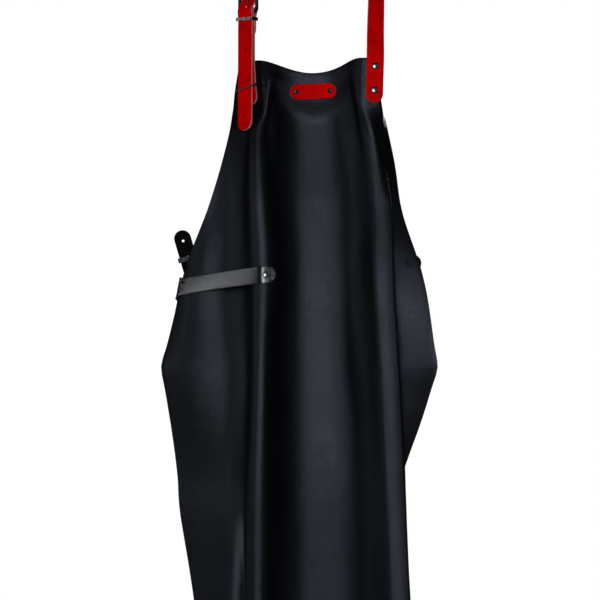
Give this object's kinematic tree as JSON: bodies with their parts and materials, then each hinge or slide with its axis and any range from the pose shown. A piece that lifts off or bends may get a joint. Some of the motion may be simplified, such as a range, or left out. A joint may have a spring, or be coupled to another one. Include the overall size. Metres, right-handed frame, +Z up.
{
  "type": "apron on a hook",
  "caption": "Leather bib apron with a riveted buckled neck strap and waist strap, hanging folded on a wide half-round wall hook.",
  "frame": {"origin": "middle of the hook's wall face, level with the spring of its arch", "axes": "+X to the viewer's right, -Y out of the wall towards the viewer, +Z up"},
  "size_m": [0.4007, 0.1175, 1.1697],
  "materials": {
    "black_leather": "smooth semi-matt full-grain, fine grain, cool sheen",
    "red_leather": "satin, paler raw cut edges",
    "black_steel": "satin black powder coat",
    "nickel": "polished nickel plate"
  },
  "bodies": {
    "apron": {"apron_panel": "black_leather", "bib_left_lower_rivet": "nickel", "bib_left_lower_washer": "nickel", "bib_left_upper_rivet": "nickel", "bib_left_upper_washer": "nickel", "bib_right_lower_rivet": "nickel", "bib_right_lower_washer": "nickel", "bib_right_upper_rivet": "nickel", "bib_right_upper_washer": "nickel", "label_left_rivet": "black_steel", "label_left_washer": "black_steel", "label_patch": "red_leather", "label_right_rivet": "black_steel", "label_right_washer": "black_steel", "neck_buckle_frame": "black_steel", "neck_buckle_strap": "red_leather", "neck_fold_rivet": "nickel", "neck_fold_washer": "nickel", "neck_strap_left": "red_leather", "neck_strap_right": "red_leather", "waist_buckle_frame": "black_steel", "waist_fold_rivet": "nickel", "waist_fold_washer": "nickel", "waist_front_rivet": "nickel", "waist_front_washer": "nickel", "waist_right_rivet": "black_steel", "waist_right_washer": "black_steel", "waist_strap_left": "black_leather", "waist_strap_right": "black_leather"},
    "hook": {"hook_back_plate": "black_steel", "hook_front_lip": "black_steel", "hook_saddle": "black_steel", "wall_screw_left": "black_steel", "wall_screw_right": "black_steel", "wall_screw_top": "black_steel"},
    "neck_prong": {"neck_buckle_prong": "black_steel"},
    "neck_lower_keeper": {"neck_lower_keeper": "black_steel"},
    "neck_strap_arch": {"neck_strap_arch": "red_leather"},
    "neck_tail": {"neck_strap_tail": "red_leather"},
    "neck_upper_keeper": {"neck_upper_keeper": "black_leather"},
    "waist_prong": {"waist_buckle_prong": "black_steel"},
    "waist_keeper": {"waist_keeper": "black_leather"}
  },
  "joints": [
    {"name": "apron_lift", "type": "slide", "parent": "hook", "child": "neck_strap_arch", "axis": [0, 0, 1], "range_m": [0, 0.03]},
    {"name": "apron_swing", "type": "hinge", "parent": "neck_strap_arch", "child": "apron", "pos_m": [0, -0.036, -0.043], "axis": [-1, 0, 0], "range_deg": [0, 12]},
    {"name": "neck_prong_lift", "type": "hinge", "parent": "apron", "child": "neck_prong", "pos_m": [-0.09225, -0.03965, -0.129], "axis": [0.809, -0.5878, 0], "range_deg": [0, 3]},
    {"name": "neck_tail_swing", "type": "hinge", "parent": "apron", "child": "neck_tail", "pos_m": [-0.09627, -0.04519, -0.1545], "axis": [-0.809, 0.5878, 0], "range_deg": [0, 20]},
    {"name": "neck_upper_keeper_slide", "type": "slide", "parent": "apron", "child": "neck_upper_keeper", "axis": [0, 0, -1], "range_m": [0, 0.005]},
    {"name": "neck_lower_keeper_slide", "type": "slide", "parent": "neck_tail", "child": "neck_lower_keeper", "axis": [0, -0.1766, -0.9843], "range_m": [-0.006, 0.006]},
    {"name": "waist_prong_lift", "type": "hinge", "parent": "apron", "child": "waist_prong", "pos_m": [-0.1454, -0.01225, -0.618], "axis": [0.96, 0, 0.28], "range_deg": [0, 3]},
    {"name": "waist_keeper_slide", "type": "slide", "parent": "apron", "child": "waist_keeper", "axis": [0.28, 0, -0.96], "range_m": [-0.008, 0.008]}
  ]
}
